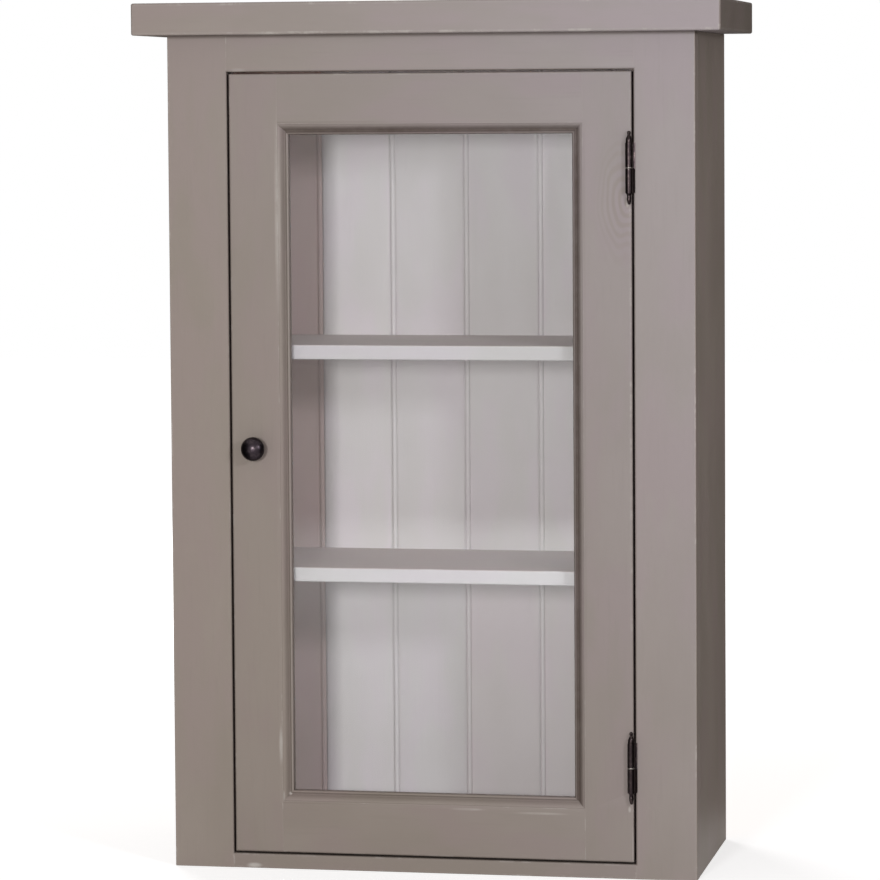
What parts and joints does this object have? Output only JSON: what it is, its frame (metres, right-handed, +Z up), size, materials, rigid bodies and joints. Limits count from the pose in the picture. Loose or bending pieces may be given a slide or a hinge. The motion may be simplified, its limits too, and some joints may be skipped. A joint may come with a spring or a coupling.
{
  "type": "kitchen cupboard",
  "caption": "Small painted cupboard with a glazed door, fixed shelves, a beaded board back and a thick overhanging top, to hang on a wall or stand on a worktop.",
  "frame": {"origin": "the middle of the outline seen from above, at the level of the bottom faces", "axes": "+X to the right seen from the front, +Y towards the back, +Z up; the face frame's face is the plane y = -0.104"},
  "size_m": [0.61, 0.272, 0.9],
  "materials": {
    "taupe_paint": "satin paint, rubbed through to pale wood on a few edges",
    "cream_paint": "satin off-white paint",
    "bare_pine": "bare planed pine",
    "glass": "clear float glass",
    "bronze": "dark oil-rubbed bronze",
    "brass": "dull brass",
    "steel": "zinc plated",
    "catch_plastic": "moulded"
  },
  "bodies": {
    "body": {"top_board": "taupe_paint", "side_left": "taupe_paint", "side_right": "taupe_paint", "bottom_board": "cream_paint", "shelf_upper": "cream_paint", "shelf_lower": "cream_paint", "face_stile_left": "taupe_paint", "face_stile_right": "taupe_paint", "face_rail_top": "taupe_paint", "back_board_1": "cream_paint", "back_board_2": "cream_paint", "back_board_3": "cream_paint", "back_board_4": "cream_paint", "back_board_5": "cream_paint", "back_board_6": "cream_paint", "hanging_rail": "bare_pine", "lower_back_rail": "bare_pine", "top_cleat_left": "bare_pine", "top_cleat_right": "bare_pine", "top_cleat_back": "bare_pine", "top_screws": "steel", "cleat_screws": "steel", "rail_screws": "steel", "hinge_frame_leaf_upper": "bronze", "hinge_frame_leaf_lower": "bronze", "hinge_pins": "steel", "hinge_washers": "brass", "hinge_finials_frame": "bronze", "hinge_screws_frame": "bronze", "catch_case": "catch_plastic", "catch_magnet": "steel", "catch_screws": "steel"},
    "door": {"door_stile_left": "taupe_paint", "door_stile_right": "taupe_paint", "door_rail_top": "taupe_paint", "door_rail_bottom": "taupe_paint", "moulding_left": "taupe_paint", "moulding_right": "taupe_paint", "moulding_top": "taupe_paint", "moulding_bottom": "taupe_paint", "glass_pane": "glass", "glazing_bead_left": "taupe_paint", "glazing_bead_right": "taupe_paint", "glazing_bead_top": "taupe_paint", "glazing_bead_bottom": "taupe_paint", "glazing_pins": "steel", "hinge_door_leaf_upper": "bronze", "hinge_door_leaf_lower": "bronze", "hinge_finials_door": "bronze", "hinge_screws_door": "bronze", "knob": "bronze", "knob_screw": "steel", "strike_plate": "steel", "strike_screws": "steel"}
  },
  "joints": [
    {"name": "door_swing", "type": "hinge", "parent": "body", "child": "door", "pos_m": [0.2079, -0.1082, 0.4225], "axis": [0, 0, 1], "range_deg": [0, 170]}
  ]
}
